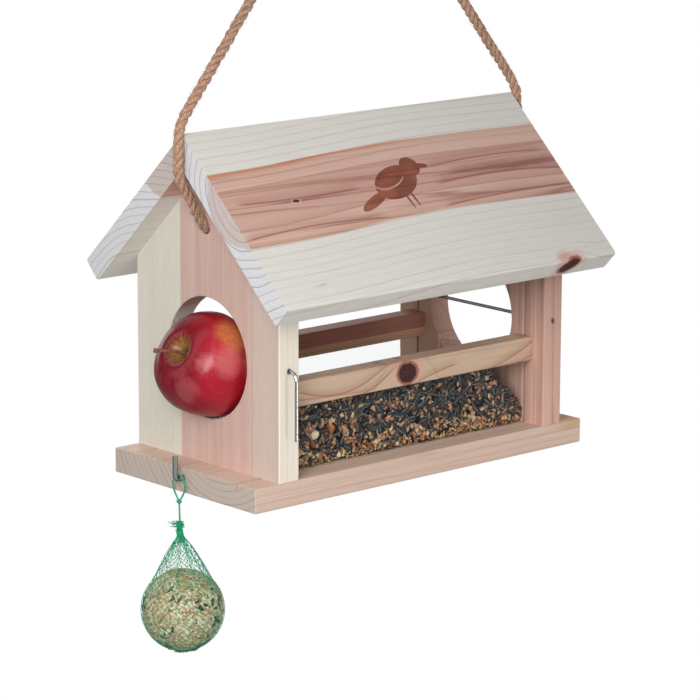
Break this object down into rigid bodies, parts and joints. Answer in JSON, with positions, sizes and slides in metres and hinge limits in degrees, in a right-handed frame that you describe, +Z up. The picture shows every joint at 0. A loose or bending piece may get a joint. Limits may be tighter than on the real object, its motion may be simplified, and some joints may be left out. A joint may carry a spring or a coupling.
{
  "type": "hanging bird feeder",
  "caption": "Gabled wooden feeder house on a rope loop, with clear seed panes, round apple holes with pull-out wire skewers, and end hooks, one with a netted fat ball.",
  "frame": {"origin": "centre of the base board's underside", "axes": "+X along the ridge to the right end, -Y the front with the long slope and the knotted rail, +Z up"},
  "size_m": [0.34, 0.208, 0.5415],
  "materials": {
    "softwood": "sanded, unfinished",
    "dowel_wood": "plain",
    "clear_pane": "clear",
    "zinc_steel": "bright zinc plated",
    "jute": "twisted fibre",
    "seeds": "loose seed",
    "apple_skin": "waxy",
    "stem_wood": "rough",
    "green_net": "fibre",
    "bird_fat": "grainy"
  },
  "bodies": {
    "rope": {"rope_loop": "jute"},
    "house": {"base_board": "softwood", "end_wall_left": "softwood", "end_wall_right": "softwood", "roof_board_front": "softwood", "roof_board_rear": "softwood", "rail_front": "softwood", "rail_rear": "softwood", "pane_front": "clear_pane", "pane_rear": "clear_pane", "rail_dowels": "dowel_wood", "base_screws": "zinc_steel", "roof_brads": "zinc_steel", "hook_left": "zinc_steel", "hook_right": "zinc_steel", "rope_end_left": "jute", "rope_end_right": "jute", "seed_mix": "seeds"},
    "left_skewer": {"apple_skewer_left": "zinc_steel"},
    "right_skewer": {"apple_skewer_right": "zinc_steel"},
    "apple": {"apple": "apple_skin", "apple_stem": "stem_wood"},
    "string": {"string_loop": "green_net"},
    "ball": {"net_string": "green_net", "fat_ball_net": "green_net", "fat_ball": "bird_fat"}
  },
  "joints": [
    {"name": "house_swing", "type": "hinge", "parent": "rope", "child": "house", "pos_m": [0, 0, 0.243], "axis": [1, 0, 0], "range_deg": [-60, 60]},
    {"name": "left_skewer_pull", "type": "slide", "parent": "house", "child": "left_skewer", "axis": [0, -1, 0], "range_m": [0, 0.15]},
    {"name": "right_skewer_pull", "type": "slide", "parent": "house", "child": "right_skewer", "axis": [0, 1, 0], "range_m": [0, 0.15]},
    {"name": "apple_rock", "type": "hinge", "parent": "house", "child": "apple", "pos_m": [-0.121, 0, 0.091], "axis": [0, 1, 0], "range_deg": [-8, 35]},
    {"name": "string_swing", "type": "hinge", "parent": "house", "child": "string", "pos_m": [-0.1539, 0, 0.0104], "axis": [1, 0, 0], "range_deg": [-60, 60]},
    {"name": "ball_sway", "type": "hinge", "parent": "string", "child": "ball", "pos_m": [-0.1539, 0, -0.0055], "axis": [0, 1, 0], "range_deg": [-20, 60]}
  ]
}
